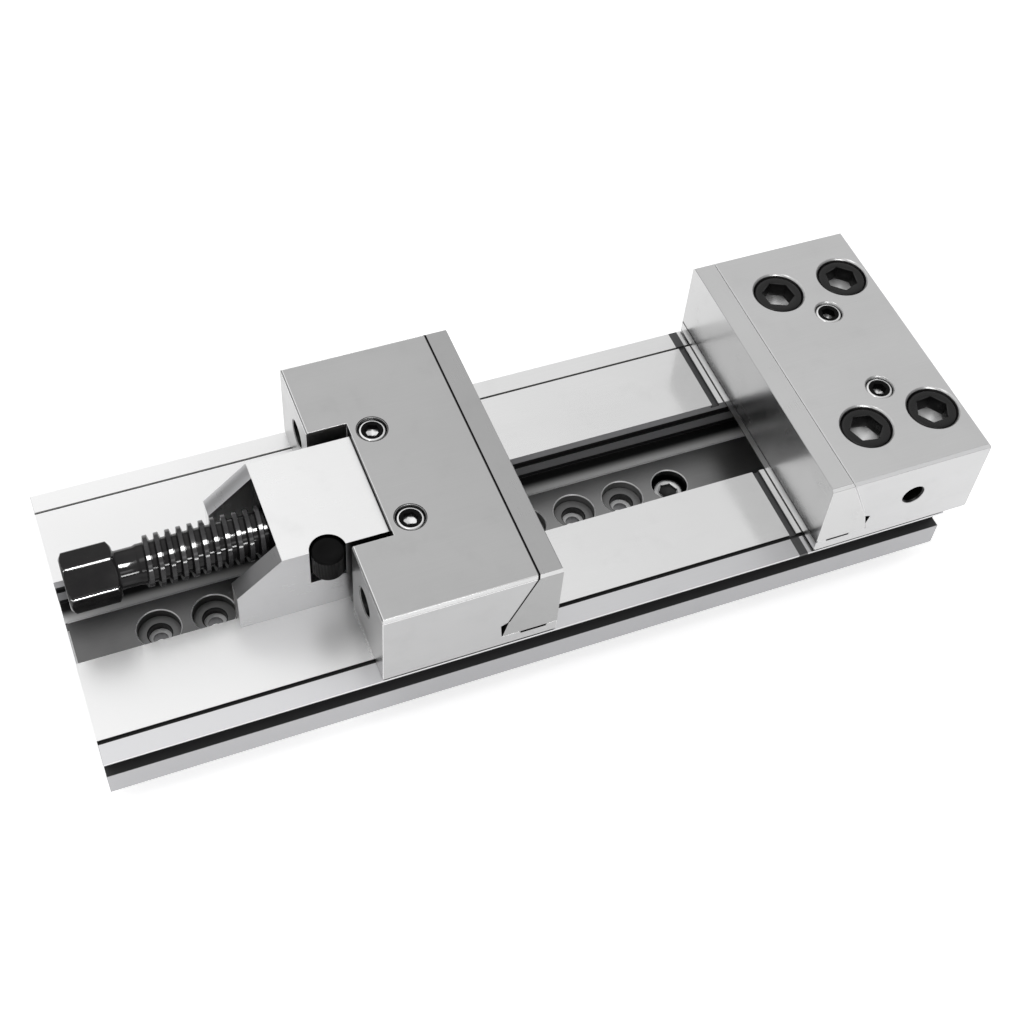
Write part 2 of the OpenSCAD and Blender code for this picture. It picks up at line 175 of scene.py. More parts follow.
def steel(name, color, rough=0.3, lay=("y", "x", "x"), vary=0.10, bump=0.2, cloud=0.06, metal=1.0, extra=None, tint=(1.0, 1.0, 1.0), scratch=0.35):
    """Ground or milled steel: grinding lines, slow cloudy tone, faint scratches and finger marks."""
    m, nt, b = new_mat(name)
    tc = node(nt, "ShaderNodeTexCoord")
    vec = tc.outputs["Object"]
    g = grain(nt, vec, lay)
    wide = noise(nt, vec, (14, 22, 22), detail=4.0, rough=0.5)
    patch = noise(nt, vec, (60, 60, 60), detail=5.0, rough=0.6)
    # sparse fine scratches in a crossing direction
    rot = node(nt, "ShaderNodeMapping")
    rot.inputs["Rotation"].default_value = (0.35, 0.2, 0.62)
    rot.inputs["Scale"].default_value = (35, 1500, 1500)
    nt.links.new(vec, rot.inputs["Vector"])
    sn = node(nt, "ShaderNodeTexNoise")
    sn.inputs["Scale"].default_value = 1.0
    sn.inputs["Detail"].default_value = 1.0
    nt.links.new(rot.outputs[0], sn.inputs["Vector"])
    scr = remap(nt, sn.outputs["Fac"], 0.71, 0.78)
    scr = math_node(nt, "MULTIPLY", scr, scratch)
    c0 = tuple(max(0.0, color * t * (1 - vary)) for t in tint)
    c1 = tuple(min(1.0, color * t * (1 + vary)) for t in tint)
    col = mix_col(nt, g, (*c0, 1), (*c1, 1))
    col = mix_col(nt, remap(nt, wide, 0.35, 0.65, 0.0, 1.0), mix_col(nt, 1.0, col, (1 - cloud,) * 3, "MULTIPLY"), col)
    col = mix_col(nt, remap(nt, patch, 0.56, 0.75, 0.0, 0.3), col, tuple(color * t * 0.88 for t in tint))
    col = mix_col(nt, scr, col, tuple(min(1.0, color * t * 1.25 + 0.03) for t in tint))
    r = mix_val(nt, g, rough * 0.82, rough * 1.15)
    r = math_node(nt, "ADD", r, remap(nt, patch, 0.4, 0.8, -0.015, 0.07))
    h = math_node(nt, "SUBTRACT", g, math_node(nt, "MULTIPLY", scr, 0.5))
    met = None
    if extra:
        col, r, met = extra(nt, vec, col, r)
    bp = node(nt, "ShaderNodeBump")
    bp.inputs["Strength"].default_value = bump
    bp.inputs["Distance"].default_value = 0.00001
    nt.links.new(h, bp.inputs["Height"])
    nt.links.new(col, b.inputs["Base Color"])
    nt.links.new(r, b.inputs["Roughness"])
    nt.links.new(bp.outputs[0], b.inputs["Normal"])
    b.inputs["Metallic"].default_value = metal
    if met is not None:
        nt.links.new(met, b.inputs["Metallic"])
    return m


def black_oxide(name, color=0.018, rough=0.3, spec=0.6, metal=0.3, worn=0.9):
    """Blackened steel with an oily sheen: brownish-blue drift and rubbed, slightly brighter wear."""
    m, nt, b = new_mat(name)
    tc = node(nt, "ShaderNodeTexCoord")
    vec = tc.outputs["Object"]
    big = noise(nt, vec, (90, 90, 90), detail=5.0, rough=0.6)
    fine = noise(nt, vec, (1400, 1400, 1400), detail=2.0, rough=0.6)
    col = mix_col(nt, big, (color * 0.7, color * 0.7, color * 0.78, 1), (color * 1.5, color * 1.42, color * 1.4, 1))
    geo = node(nt, "ShaderNodeNewGeometry")
    rub = remap(nt, geo.outputs["Pointiness"], 0.53, 0.60)
    rub = math_node(nt, "MULTIPLY", rub, remap(nt, big, 0.35, 0.7, 0.2 * worn, worn))
    col = mix_col(nt, rub, col, (0.16, 0.16, 0.165, 1))
    r = mix_val(nt, fine, rough * 0.8, rough * 1.25)
    r = math_node(nt, "ADD", r, remap(nt, big, 0.4, 0.8, -0.04, 0.1))
    bp = node(nt, "ShaderNodeBump")
    bp.inputs["Strength"].default_value = 0.25
    bp.inputs["Distance"].default_value = 0.00002
    nt.links.new(fine, bp.inputs["Height"])
    nt.links.new(col, b.inputs["Base Color"])
    nt.links.new(r, b.inputs["Roughness"])
    nt.links.new(bp.outputs[0], b.inputs["Normal"])
    b.inputs["Metallic"].default_value = metal
    b.inputs["Specular IOR Level"].default_value = spec
    return m


def axes_of(nt, vec):
    sep = node(nt, "ShaderNodeSeparateXYZ")
    nt.links.new(vec, sep.inputs[0])
    return sep.outputs[0], sep.outputs[1], sep.outputs[2]


def mul(nt, *fs):
    out = fs[0]
    for f in fs[1:]:
        out = math_node(nt, "MULTIPLY", out, f)
    return out


def base_zones(nt, vec, col, r):
    """Painted light and shade on the ground rails: the screw end is painted near white and less metallic as a painted
    reflection, and painted shade darkens the near ledge, the flanks, the clamping grooves, the slot at the rail foot,
    the cross groove and bands of the milled channel.
    """
    x, y, z = axes_of(nt, vec)
    ay = math_node(nt, "ABSOLUTE", y)
    near = remap(nt, y, -0.01, 0.01, 1.0, 0.0)
    # painted reflection: towards the screw end the rails are painted near white, rougher and less metallic
    met = remap(nt, x, -0.095, -0.075, 0.62, 1.0)
    bright = remap(nt, x, -0.095, -0.075, 1.0, 0.0)
    col = mix_col(nt, bright, col, (0.985, 0.985, 0.985, 1))
    r = mix_val(nt, remap(nt, x, -0.095, -0.075, 1.0, 0.0), r, 0.34)
    # painted shade: the ledge beside the rail is painted darker on the near side only, and the flank below the groove
    # is painted darker on both sides
    side = band(nt, ay, 0.0605, 0.080, 0.0001)
    ledge = mul(nt, side, band(nt, ay, 0.0651, 0.080, 0.00005), band(nt, z, 0.0381, 0.0394, 0.00005))
    flank = mul(nt, side, band(nt, z, -0.001, 0.0381, 0.00005))
    col = mix_col(nt, mul(nt, ledge, near), col, mix_col(nt, 1.0, col, (0.80, 0.80, 0.815), "MULTIPLY"))
    col = mix_col(nt, flank, col, mix_col(nt, 1.0, col, (0.46, 0.46, 0.472), "MULTIPLY"))
    r = mix_val(nt, mul(nt, side, remap(nt, z, 0.0394, 0.0396, 1.0, 0.0)), r, 0.3)
    # painted shade: the mouth of the clamping groove and the fine slot at the foot of the rail are painted near
    # black, the slot mostly on the near side
    groove = mul(nt, band(nt, z, 0.02835, 0.03825, 0.00005), band(nt, ay, 0.060, 0.07485, 0.0001))
    step = mul(nt, band(nt, z, 0.0375, 0.03985, 0.0001), band(nt, ay, 0.06325, 0.06505, 0.00005))
    step = mul(nt, step, mix_val(nt, near, 0.12, 1.0))
    # painted shade and light in the channel: the undercut bands w2 and w4 are painted near black, the strip fl
    # carries a painted highlight ramp fading to dark towards the far side, and a painted shadow line lies at the
    # index plate's far edge
    inside = band(nt, ay, -0.001, 0.0312, 0.0001)
    w1 = mul(nt, band(nt, ay, -0.001, 0.02285, 0.00005), band(nt, z, 0.03535, 0.03995, 0.00005))
    w2 = mul(nt, inside, band(nt, z, 0.0309, 0.03535, 0.0001))
    w3 = mul(nt, inside, band(nt, z, 0.0248, 0.0309, 0.0001))
    w4 = mul(nt, inside, band(nt, z, 0.0122, 0.0248, 0.0001))
    fl = mul(nt, inside, band(nt, z, 0.0118, 0.0122, 0.0001))
    deep = mul(nt, inside, band(nt, z, -0.001, 0.0118, 0.0001))
    # painted shade: the cross groove in the land is painted dark
    cross = mul(nt, band(nt, z, 0.0380, 0.03985, 0.00005), band(nt, x, 0.1205, 0.1251, 0.0001))
    fl_highlight_ramp = remap(nt, ay, 0.0190, 0.0262, 0.95, 0.02, True)
    gap_shadow_line = mul(nt, fl, band(nt, ay, 0.0175, 0.0186, 0.00005))
    pan = mul(nt, inside, band(nt, z, 0.0057, 0.0063, 0.0001))
    for f, c, rr, mm in ((w1, 0.52, 0.35, 0.3), (w2, 0.02, 0.42, 0.5), (w3, 0.22, 0.38, 0.3), (w4, 0.035, 0.30, 0.6), (fl, 0.93, 0.2, 0.3),
                         (deep, 0.18, 0.4, 0.5), (cross, 0.085, 0.35, 0.5), (groove, 0.045, 0.5, 0.1), (step, 0.035, 0.5, 0.4)):
        if f is fl:
            tone = node(nt, "ShaderNodeCombineColor")
            for i in range(3):
                nt.links.new(fl_highlight_ramp, tone.inputs[i])
            col = mix_col(nt, f, col, tone.outputs[0])
        else:
            col = mix_col(nt, f, col, (c, c, c * 1.03, 1))
        r = mix_val(nt, f, r, rr)
        met = mix_val(nt, f, met, mm)
    col = mix_col(nt, gap_shadow_line, col, (0.01, 0.01, 0.01, 1))
    col = mix_col(nt, pan, col, (0.9, 0.9, 0.9, 1))
    met = mix_val(nt, pan, met, 0.0)
    # milled end faces
    ends = math_node(nt, "MAXIMUM", remap(nt, x, -0.2116, -0.2115, 1.0, 0.0), remap(nt, x, 0.1996, 0.1997))
    ends = mul(nt, ends, remap(nt, z, 0.0398, 0.0399, 1.0, 0.0))
    col = mix_col(nt, ends, col, (0.40, 0.40, 0.408, 1))
    r = mix_val(nt, ends, r, 0.38)
    met = mix_val(nt, ends, met, 1.0)
    return col, r, met


def hole_mask(nt, u, v, cu, cv, rad, soft=0.0001):
    du = math_node(nt, "SUBTRACT", u, cu)
    dv = math_node(nt, "SUBTRACT", v, cv)
    d = math_node(nt, "SQRT", math_node(nt, "ADD", math_node(nt, "MULTIPLY", du, du), math_node(nt, "MULTIPLY", dv, dv)))
    return remap(nt, d, rad - soft, rad + soft, 1.0, 0.0)


LEAN = 0.4452


def seam(nt, dx, z, width):
    """dark hairline where a jaw plate meets its jaw; dx is measured back from the gripping face"""
    at_z = math_node(nt, "ADD", math_node(nt, "MULTIPLY", math_node(nt, "SUBTRACT", 0.086, z), SEAM_K), 0.011)
    d = math_node(nt, "ABSOLUTE", math_node(nt, "SUBTRACT", dx, at_z))
    return mul(nt, remap(nt, d, width, width + 0.0001, 1.0, 0.0), remap(nt, z, 0.0568, 0.0572))


SEAM_K = 12.9 / 29.0


def chamfer(nt, ay, z):
    """the broken outer top edges of the jaws"""
    return mul(nt, remap(nt, math_node(nt, "ADD", ay, z), 0.15942, 0.15950), remap(nt, z, 0.08588, 0.08596, 1.0, 0.0), remap(nt, ay, 0.07488, 0.07496, 1.0, 0.0))


def movable_zones(nt, vec, col, r):
    x, y, z = axes_of(nt, vec)
    dx = math_node(nt, "SUBTRACT", -0.005, x)
    ay = math_node(nt, "ABSOLUTE", y)
    s1 = seam(nt, dx, z, 0.00055)
    # painted shade: the screw holes, the relief triangle, the seat slot and the spindle bore are painted dark
    hole = mul(nt, hole_mask(nt, ay, z, 0.050, 0.0665, 0.0073), band(nt, x, -0.0872, -0.060, 0.0001))
    tri = mul(nt, band(nt, z, 0.0466, 0.0571, 0.0001), band(nt, dx, 0.02, 0.0285, 0.0001), band(nt, ay, -0.01, 0.07485, 0.00008))
    slot = mul(nt, band(nt, z, 0.0452, 0.04655, 0.00003), band(nt, dx, 0.0054, 0.0176, 0.0001), band(nt, ay, -0.01, 0.07485, 0.00008))
    bore = mul(nt, band(nt, z, 0.04, 0.0852, 0.0001), band(nt, x, -0.0875, -0.045, 0.0001), band(nt, ay, -0.01, 0.0325, 0.0002))
    # painted shade: the side faces are painted darker
    side = remap(nt, ay, 0.0744, 0.0749)
    col = mix_col(nt, side, col, mix_col(nt, 1.0, col, (0.90, 0.90, 0.905), "MULTIPLY"))
    for f, c in ((s1, 0.012), (hole, 0.02), (tri, 0.015), (slot, 0.015), (mul(nt, bore, 0.75), 0.05)):
        col = mix_col(nt, f, col, (c, c, c, 1))
    # painted highlight: the top chamfer is painted near white and diffuse, except along the seam
    cham = mul(nt, chamfer(nt, ay, z), remap(nt, s1, 0.0, 1.0, 1.0, 0.0))
    col = mix_col(nt, cham, col, (0.92, 0.92, 0.92, 1))
    return col, r, mix_val(nt, cham, remap(nt, s1, 0.0, 1.0, 1.0, 0.3), 0.0)


def fixed_zones(nt, vec, col, r):
    x, y, z = axes_of(nt, vec)
    ay = math_node(nt, "ABSOLUTE", y)
    dx = math_node(nt, "SUBTRACT", x, 0.1277)
    # painted shade: the screw hole, the relief triangle and the seat slot are painted dark; seat and foot are dark
    # joint lines
    hole = mul(nt, hole_mask(nt, x, z, 0.1758, 0.0633, 0.0062), band(nt, ay, 0.060, 0.07482, 0.00006))
    tri = mul(nt, band(nt, z, 0.0466, 0.0571, 0.0001), band(nt, dx, 0.02, 0.0285, 0.0001), band(nt, ay, -0.01, 0.07485, 0.00008))
    slot = mul(nt, band(nt, z, 0.0452, 0.04655, 0.00003), band(nt, dx, 0.0054, 0.0176, 0.0001), band(nt, ay, -0.01, 0.07485, 0.00008))
    # painted shade: the side faces are painted darker
    side = remap(nt, ay, 0.0744, 0.0749)
    col = mix_col(nt, side, col, mix_col(nt, 1.0, col, (0.86, 0.86, 0.865), "MULTIPLY"))
    foot = mul(nt, remap(nt, z, 0.0464, 0.0466, 1.0, 0.0), band(nt, dx, -0.001, 0.0006, 0.0001), remap(nt, z, 0.0460, 0.0461))
    seat = mul(nt, remap(nt, z, 0.0408, 0.0410, 1.0, 0.0), band(nt, dx, -0.001, 0.0006, 0.0001))
    for f, c in ((hole, 0.03), (tri, 0.015), (slot, 0.015), (seat, 0.02), (foot, 0.02)):
        col = mix_col(nt, f, col, (c, c, c, 1))
    # painted highlight: the top chamfer and the seam line are painted pale and diffuse, which paints over the seam's
    # shade
    cham = math_node(nt, "MAXIMUM", chamfer(nt, ay, z), seam(nt, dx, z, 0.00055))
    col = mix_col(nt, cham, col, (0.74, 0.74, 0.745, 1))
    return col, r, mix_val(nt, cham, 1.0, 0.0)


def plate_zones(sign):
    def f(nt, vec, col, r):
        x, y, z = axes_of(nt, vec)
        dx = math_node(nt, "SUBTRACT", -0.005, x) if sign < 0 else math_node(nt, "SUBTRACT", x, 0.1277)
        # painted light: on the fixed plate the top is painted brighter and the sides a touch brighter, with a dark
        # joint line at its foot; on the movable plate the sides are painted darker as painted shade and a dark seam
        # line runs against the movable jaw; on both the top chamfer is painted pale as a painted highlight, on the
        # fixed plate together with the seam line
        if sign < 0:
            s1 = seam(nt, dx, z, 0.00042)
            side = remap(nt, math_node(nt, "ABSOLUTE", y), 0.0744, 0.0749)
            col = mix_col(nt, side, col, mix_col(nt, 1.0, col, (0.8, 0.8, 0.8), "MULTIPLY"))
            col = mix_col(nt, s1, col, (0.012, 0.012, 0.012, 1))
        else:
            topz = remap(nt, z, 0.08575, 0.08592)
            side = remap(nt, math_node(nt, "ABSOLUTE", y), 0.0747, 0.0749)
            col = mix_col(nt, topz, col, mix_col(nt, 1.0, col, (1.19, 1.19, 1.19), "MULTIPLY"))
            foot = mul(nt, remap(nt, z, 0.0471, 0.0473, 1.0, 0.0), remap(nt, dx, 0.0006, 0.0008, 1.0, 0.0))
            col = mix_col(nt, foot, col, (0.02, 0.02, 0.02, 1))
            col = mix_col(nt, side, col, mix_col(nt, 1.0, col, (1.02, 1.02, 1.02), "MULTIPLY"))
        cham = chamfer(nt, math_node(nt, "ABSOLUTE", y), z)
        if sign < 0:
            cham = mul(nt, cham, remap(nt, s1, 0.0, 1.0, 1.0, 0.0))
        else:
            cham = math_node(nt, "MAXIMUM", cham, seam(nt, dx, z, 0.00045))
        white = 0.88 if sign < 0 else 0.82
        col = mix_col(nt, cham, col, (white, white, white, 1))
        return col, r, mix_val(nt, cham, 1.0, 0.0)
    return f


def block_zones(nt, vec, col, r):
    x, y, z = axes_of(nt, vec)
    # painted shade: the bores and the pocket behind the spindle are painted dark, the sloped arm faces are painted
    # darker, more so on the near side, and the side faces are painted darker; the notch is painted black
    ay = math_node(nt, "ABSOLUTE", y)
    inner = mul(nt, band(nt, ay, -0.01, 0.01936, 0.00004), band(nt, z, 0.03, 0.0822, 0.0001), band(nt, x, -0.139, -0.0690, 0.0001))
    arm = mul(nt, remap(nt, math_node(nt, "SUBTRACT", z, math_node(nt, "MULTIPLY", x, 0.9014)), 0.1877, 0.1881, 0.0, 1.0), band(nt, x, -0.139, -0.11755, 0.0001))
    col = mix_col(nt, arm, col, mix_col(nt, 1.0, col, (0.60, 0.60, 0.61), "MULTIPLY"))
    col = mix_col(nt, mul(nt, arm, remap(nt, y, -0.001, 0.001, 1.0, 0.0)), col, mix_col(nt, 1.0, col, (0.85, 0.85, 0.85), "MULTIPLY"))
    col = mix_col(nt, inner, col, (0.03, 0.03, 0.032, 1))
    side = mul(nt, remap(nt, ay, 0.0281, 0.02825), remap(nt, z, 0.0822, 0.0823, 1.0, 0.0))
    col = mix_col(nt, side, col, mix_col(nt, 1.0, col, (0.66, 0.66, 0.67), "MULTIPLY"))
    # painted shadow: a dark gradient on the side face next to the jaw arm
    shade = mul(nt, side, remap(nt, x, -0.094, -0.086), remap(nt, z, 0.044, 0.070, 0.1, 0.85))
    col = mix_col(nt, shade, col, (0.03, 0.03, 0.03, 1))
    notch = mul(nt, remap(nt, ay, 0.0205, 0.0207), remap(nt, ay, 0.0281, 0.02825, 1.0, 0.0), band(nt, z, 0.0605, 0.0822, 0.0001), band(nt, x, -0.106, -0.087, 0.0001))
    col = mix_col(nt, notch, col, (0.02, 0.02, 0.02, 1))
    return col, r, None


M_BASE = steel("ground_rails", 0.86, rough=0.15, lay=("y", "x", "x"), vary=0.035, bump=0.05, cloud=0.03, extra=base_zones, scratch=0.1)
M_JAWM = steel("ground_jaw", 0.515, rough=0.34, lay=("y", "x", "x"), vary=0.045, bump=0.18, cloud=0.04, scratch=0.12, extra=movable_zones)
M_JAWF = steel("ground_jaw_fixed", 0.68, rough=0.32, lay=("y", "x", "x"), vary=0.045, bump=0.18, cloud=0.04, scratch=0.12, extra=fixed_zones)
M_PLATEM = steel("jaw_plate_ground", 0.455, rough=0.3, lay=("y", "x", "y"), vary=0.035, bump=0.08, cloud=0.03, scratch=0.08, extra=plate_zones(-1))
M_PLATEF = steel("jaw_plate_ground_fixed", 0.565, rough=0.24, lay=("y", "x", "y"), vary=0.035, bump=0.07, cloud=0.03, scratch=0.08, extra=plate_zones(1))
M_BLOCK = steel("block_ground", 0.93, rough=0.30, lay=("y", "x", "x"), vary=0.02, bump=0.1, cloud=0.02, scratch=0.06, extra=block_zones)
M_DARK = steel("hardened_dark", 0.17, rough=0.36, lay=("y", "x", "x"), vary=0.12, bump=0.2, cloud=0.10, scratch=0.3)
M_BUSH = steel("bush_face", 0.25, rough=0.4, lay=("y", "x", "x"), vary=0.06, bump=0.15, cloud=0.06, scratch=0.1, metal=0.3)
# painted shade: near-black bores; painted highlight: bright socket floors and bright rims on screw heads
M_BORE_SHADE = steel("bore_painted_shade", 0.02, rough=0.45, lay=("y", "x", "x"), vary=0.2, bump=0.2, cloud=0.1, scratch=0.1, metal=0.3)
M_SOCKET = steel("socket_floor_painted_highlight", 0.85, rough=0.30, lay=("y", "x", "x"), vary=0.12, bump=0.4, cloud=0.12, scratch=0.3)
M_RIM = steel("rim_painted_highlight", 0.85, rough=0.2, lay=("y", "x", "x"), vary=0.05, bump=0.1, cloud=0.04, scratch=0.1)
M_INNER = steel("inner_milled", 0.28, rough=0.4, lay=("y", "x", "y"), vary=0.12, bump=0.35, cloud=0.1, scratch=0.4)
M_PLAIN = steel("plain_screw_steel", 0.62, rough=0.25, lay=("y", "x", "x"), vary=0.06, bump=0.15, cloud=0.05)
M_BRONZE = steel("turned_bronze", 0.62, rough=0.33, lay=("y", "x", "y"), vary=0.1, bump=0.3, cloud=0.1, tint=(1.0, 0.76, 0.42))
def edge_zones(nt, vec, col, r):
    """painted highlight: the bevel faces are painted bright; painted shade darkens them around the screw holes, slots
    and relief triangles, and they are dark along the seam line
    """
    x, y, z = axes_of(nt, vec)
    ay = math_node(nt, "ABSOLUTE", y)
    h1 = mul(nt, hole_mask(nt, ay, z, 0.050, 0.0665, 0.0085), band(nt, x, -0.089, -0.08, 0.0001))
    h2 = mul(nt, hole_mask(nt, x, z, 0.1758, 0.0633, 0.0075), remap(nt, ay, 0.070, 0.0701))
    h3 = mul(nt, hole_mask(nt, x, ay, -0.0583, 0.0264, 0.0085), remap(nt, z, 0.08, 0.0801))
    h4 = mul(nt, hole_mask(nt, x, ay, 0.1788, 0.0259, 0.0078), remap(nt, z, 0.08, 0.0801))
    d = math_node(nt, "MAXIMUM", math_node(nt, "MAXIMUM", h1, h2), math_node(nt, "MAXIMUM", h3, h4))
    slots = mul(nt, band(nt, z, 0.0449, 0.0469, 0.00005), math_node(nt, "MAXIMUM", band(nt, x, -0.0232, -0.0098, 0.0001), band(nt, x, 0.1325, 0.1459, 0.0001)))
    tris = mul(nt, band(nt, z, 0.0466, 0.0575, 0.00005), math_node(nt, "MAXIMUM", band(nt, x, -0.0342, -0.0245, 0.0001), band(nt, x, 0.1472, 0.1569, 0.0001)))
    line = seam(nt, math_node(nt, "SUBTRACT", -0.005, x), z, 0.0007)
    d = math_node(nt, "MAXIMUM", math_node(nt, "MAXIMUM", d, slots), math_node(nt, "MAXIMUM", tris, line))
    col = mix_col(nt, d, col, (0.03, 0.03, 0.03, 1))
    return col, r, None


# painted highlight: bright edge materials for the jaws' bevel faces; the fixed one is less metallic so it reads pale
M_EDGEF = steel("edge_painted_highlight_fixed", 0.93, rough=0.4, lay=("y", "x", "x"), vary=0.03, bump=0.05, cloud=0.02, scratch=0.0, metal=0.25, extra=edge_zones)
M_EDGE = steel("edge_painted_highlight", 0.92, rough=0.24, lay=("y", "x", "x"), vary=0.03, bump=0.05, cloud=0.02, scratch=0.0, extra=edge_zones)
M_OXIDE = black_oxide("black_oxide", 0.006, rough=0.3, spec=0.35, metal=0.1)
M_KNOB = black_oxide("black_oxide_knob", 0.002, rough=0.4, spec=0.08, metal=0.0, worn=0.06)
# painted highlight: bright strips on the spindle's hex edges
M_HEX_GLINT = steel("hex_edge_painted_highlight", 0.75, rough=0.22, lay=("y", "x", "x"), vary=0.1, bump=0.1, cloud=0.1, scratch=0.2)
M_SPINDLE = black_oxide("black_oxide_spindle", 0.0025, rough=0.11, spec=0.16, metal=0.0, worn=0.15)


def dress(name, mat, bevel=0.3, seg=2, angle=28.0, edge=None):
    """Material and a fine broken edge on a CAD node."""
    o = NODES[name]
    o.data.materials.clear()
    o.data.materials.append(mat)
    # painted highlight: the edge material paints the bevel faces bright
    if edge:
        o.data.materials.append(edge)
    if bevel:
        w = o.modifiers.new("weld", "WELD")
        w.merge_threshold = 1e-6
        d = o.modifiers.new("flats", "DECIMATE")
        d.decimate_type = "DISSOLVE"
        d.angle_limit = math.radians(0.5)
        b = o.modifiers.new("edges", "BEVEL")
        b.width = bevel * MM
        b.segments = seg
        b.limit_method = "ANGLE"
        b.angle_limit = math.radians(angle)
        b.use_clamp_overlap = True
        b.harden_normals = True
        if edge:
            b.material = 1
    return o


dress("base", M_BASE, 0.22, 2)
def plate_edge(nt, vec, col, r):
    """Painted highlight on the index plate: its top edges and a thin ring round each counterbore are painted bright;
    painted shade darkens the gap below the plate edge and the counterbore at the fixed jaw end; the plate is painted
    1.7 times lighter towards the fixed jaw.
    """
    x, y, z = axes_of(nt, vec)
    ay = math_node(nt, "ABSOLUTE", y)
    e = mul(nt, remap(nt, ay, 0.01618, 0.01625), remap(nt, z, 0.0131, 0.0133))
    low = mul(nt, remap(nt, z, 0.0128, 0.0130, 1.0, 0.0), remap(nt, ay, 0.0178, 0.0179))
    cb = mul(nt, remap(nt, z, 0.01445, 0.01455, 1.0, 0.0), remap(nt, x, 0.0765, 0.0775), remap(nt, ay, 0.0105, 0.0107, 1.0, 0.0))
    u = math_node(nt, "SUBTRACT", math_node(nt, "ABSOLUTE", math_node(nt, "SUBTRACT", math_node(nt, "FRACT", math_node(nt, "DIVIDE", math_node(nt, "SUBTRACT", x, 0.0903 - 0.0131 - 0.262), 0.0262)), 0.5)), 0.0)
    d = math_node(nt, "SQRT", math_node(nt, "ADD", math_node(nt, "POWER", math_node(nt, "MULTIPLY", u, 0.0262), 2.0), math_node(nt, "POWER", y, 2.0)))
    ring = mul(nt, band(nt, d, 0.01025, 0.01071, 0.00004), band(nt, x, -0.1846, 0.0770, 0.0001))
    small = mul(nt, band(nt, d, 0.00905, 0.00952, 0.00004), math_node(nt, "MAXIMUM", band(nt, x, 0.0775, 0.1032, 0.0001), band(nt, x, 0.1560, 0.182, 0.0001)))
    ring = mul(nt, math_node(nt, "MAXIMUM", ring, small), remap(nt, z, 0.01445, 0.01455))
    col = mix_col(nt, remap(nt, x, -0.06, -0.02), col, mix_col(nt, 1.0, col, (1.7, 1.7, 1.7), "MULTIPLY"))
    col = mix_col(nt, e, col, (0.93, 0.93, 0.93, 1))
    col = mix_col(nt, ring, col, (0.9, 0.9, 0.9, 1))
    col = mix_col(nt, low, col, (0.07, 0.07, 0.072, 1))
    col = mix_col(nt, cb, col, (0.015, 0.015, 0.015, 1))
    return col, r, mix_val(nt, math_node(nt, "MAXIMUM", e, ring), 1.0, 0.35)


M_PLATE = steel("hardened_plate", 0.17, rough=0.36, lay=("y", "x", "x"), vary=0.08, bump=0.15, cloud=0.06, scratch=0.15, extra=plate_edge)
dress("index_plate", M_PLATE, 0.0)
dress("fixed_jaw_body", M_JAWF, 0.45, 2, edge=M_EDGEF)
dress("fixed_jaw_plate", M_PLATEF, 0.3, 3)
dress("movable_jaw_body", M_JAWM, 0.45, 2, edge=M_EDGE)
dress("movable_jaw_plate", M_PLATEM, 0.3, 3)
dress("slide_block", M_BLOCK, 0.22, 2)
for n in ("fixed_jaw_cross_key", "slide_foot", "lock_crossbar", "index_dog", "thrust_retainer", "jaw_guide_block", "jaw_hold_down_plate", "thrust_collar"):
    dress(n, M_INNER, 0.25, 2)
dress("thrust_washer", M_BRONZE, 0.0)


# ------------------------------------------------------------------ stacked loops
def loop_pts(shape, size, n, cone=None, phase=0.0, ridges=0, ridge=0.0):
    """n points (mm) of one loop: c circle of radius size, h hexagon with apothem size"""
    pts = []
    for i in range(n):
        a = 2 * math.pi * i / n
        if shape == "c":
            r = size
            if ridges:
                t = (a * ridges / (2 * math.pi)) % 1.0
                r -= ridge * (1 - min(1.0, 2.6 * (1 - abs(2 * t - 1))))
        else:
            t = (a - phase) % (math.pi / 3)
            r = size / math.cos(t - math.pi / 6)
        if cone is not None:
            r = min(r, cone)
        pts.append((r * math.cos(a), r * math.sin(a)))
    return pts


def stack(bm, loops, n, close_start=True, close_end=True, mats=None):
    """Skins a list of loops [(z, pts)], closing both ends with a fan"""
    rings = []
    for z, pts in loops:
        rings.append([bm.verts.new((x, y, z)) for x, y in pts])
    for k in range(len(rings) - 1):
        a, b = rings[k], rings[k + 1]
        for i in range(n):
            f = bm.faces.new((a[i], a[(i + 1) % n], b[(i + 1) % n], b[i]))
            if mats:
                f.material_index = mats[k]
    if close_start:
        c = bm.verts.new((0, 0, loops[0][0]))
        for i in range(n):
            f = bm.faces.new((c, rings[0][(i + 1) % n], rings[0][i]))
            if mats:
                f.material_index = mats[0]
    if close_end:
        c = bm.verts.new((0, 0, loops[-1][0]))
        for i in range(n):
            f = bm.faces.new((c, rings[-1][i], rings[-1][(i + 1) % n]))
            if mats:
                f.material_index = mats[-1]
    return rings


def finish_mesh(bm, name, mats, body, nodes=(), angle=30.0):
    bmesh.ops.recalc_face_normals(bm, faces=bm.faces)
    me = bpy.data.meshes.new(name)
    bm.to_mesh(me)
    bm.free()
    for f in me.polygons:
        f.use_smooth = True
    me.set_sharp_from_angle(angle=math.radians(angle))
    for m in mats:
        me.materials.append(m)
    o = bpy.data.objects.new(name, me)
    scene.collection.objects.link(o)
    if nodes:
        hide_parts(*nodes)
    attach(o, body)
    return o


